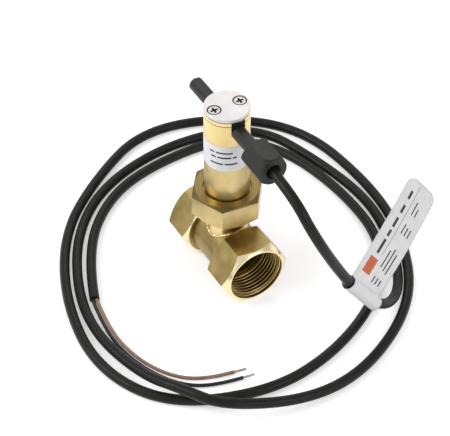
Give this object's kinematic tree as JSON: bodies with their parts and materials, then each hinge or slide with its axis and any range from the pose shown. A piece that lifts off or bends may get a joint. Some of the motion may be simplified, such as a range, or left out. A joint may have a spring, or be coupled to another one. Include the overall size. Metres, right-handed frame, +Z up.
{
  "type": "paddle flow switch",
  "caption": "Brass inline paddle flow switch: threaded tee with hinged paddle, upright tube housing, clamped reed contact rod with gland, and a coiled two-core cable with a folded tag.",
  "frame": {"origin": "centre of the footprint of the tee, rod and housing (the free cable aside), at the bottom flats of the tee's hexagon ends", "axes": "+X along the flow bore towards the cable gland's side, +Z up along the housing tube"},
  "size_m": [0.2434, 0.2163, 0.1231],
  "materials": {
    "machined_brass": "satin, machined and bevelled",
    "turned_brass": "turned and milled",
    "polished_brass": "polished",
    "pale_metal": "pale, finely brushed",
    "screw_steel": "plated cross-recess heads",
    "stainless": "satin",
    "seal_rubber": "matte",
    "label_film": "white film",
    "white_plastic": "matte",
    "magnet_grey": "sintered",
    "black_plastic": "moulded, fine grain",
    "reed_glass": "clear",
    "tinned_wire": "tinned",
    "potting_resin": "cast resin",
    "cable_pvc": "slightly glossy sheath",
    "brown_pvc": "core insulation",
    "black_pvc": "core insulation",
    "tag_paper": "coated paper"
  },
  "bodies": {
    "switch_body": {"inlet_end": "machined_brass", "outlet_end": "machined_brass", "tee_run": "machined_brass", "tee_neck": "machined_brass", "union_nut": "turned_brass", "housing_gasket": "seal_rubber", "switch_housing": "polished_brass", "clamp_ring": "polished_brass", "clamp_pad": "seal_rubber", "cover_plate": "pale_metal", "cover_screws": "screw_steel", "tube_label": "label_film", "paddle_carrier": "turned_brass", "pivot_pin": "stainless", "pivot_bushes": "white_plastic", "magnet_clip": "white_plastic", "reset_magnet": "magnet_grey"},
    "paddle": {"paddle_arm": "stainless", "paddle_disc": "stainless", "paddle_rivets": "stainless", "paddle_magnet": "magnet_grey"},
    "contact_rod": {"reed_rod": "black_plastic", "reed_contact": "reed_glass", "reed_sleeve": "white_plastic", "reed_leads": "tinned_wire", "rod_potting": "potting_resin", "gland_nut": "black_plastic", "gland_seal": "seal_rubber", "gland_washer": "white_plastic", "cable": "cable_pvc", "brown_core": "brown_pvc", "black_core": "black_pvc", "wire_ends": "tinned_wire", "flag_tag": "tag_paper"}
  },
  "joints": [
    {"name": "paddle_swing", "type": "hinge", "parent": "switch_body", "child": "paddle", "pos_m": [0, 0, 0.06], "axis": [0, -1, 0], "range_deg": [0, 10], "stiffness_Nm_per_rad": 0.02},
    {"name": "set_point_slide", "type": "slide", "parent": "switch_body", "child": "contact_rod", "axis": [1, 0, 0], "range_m": [-0.005, 0.005]}
  ]
}
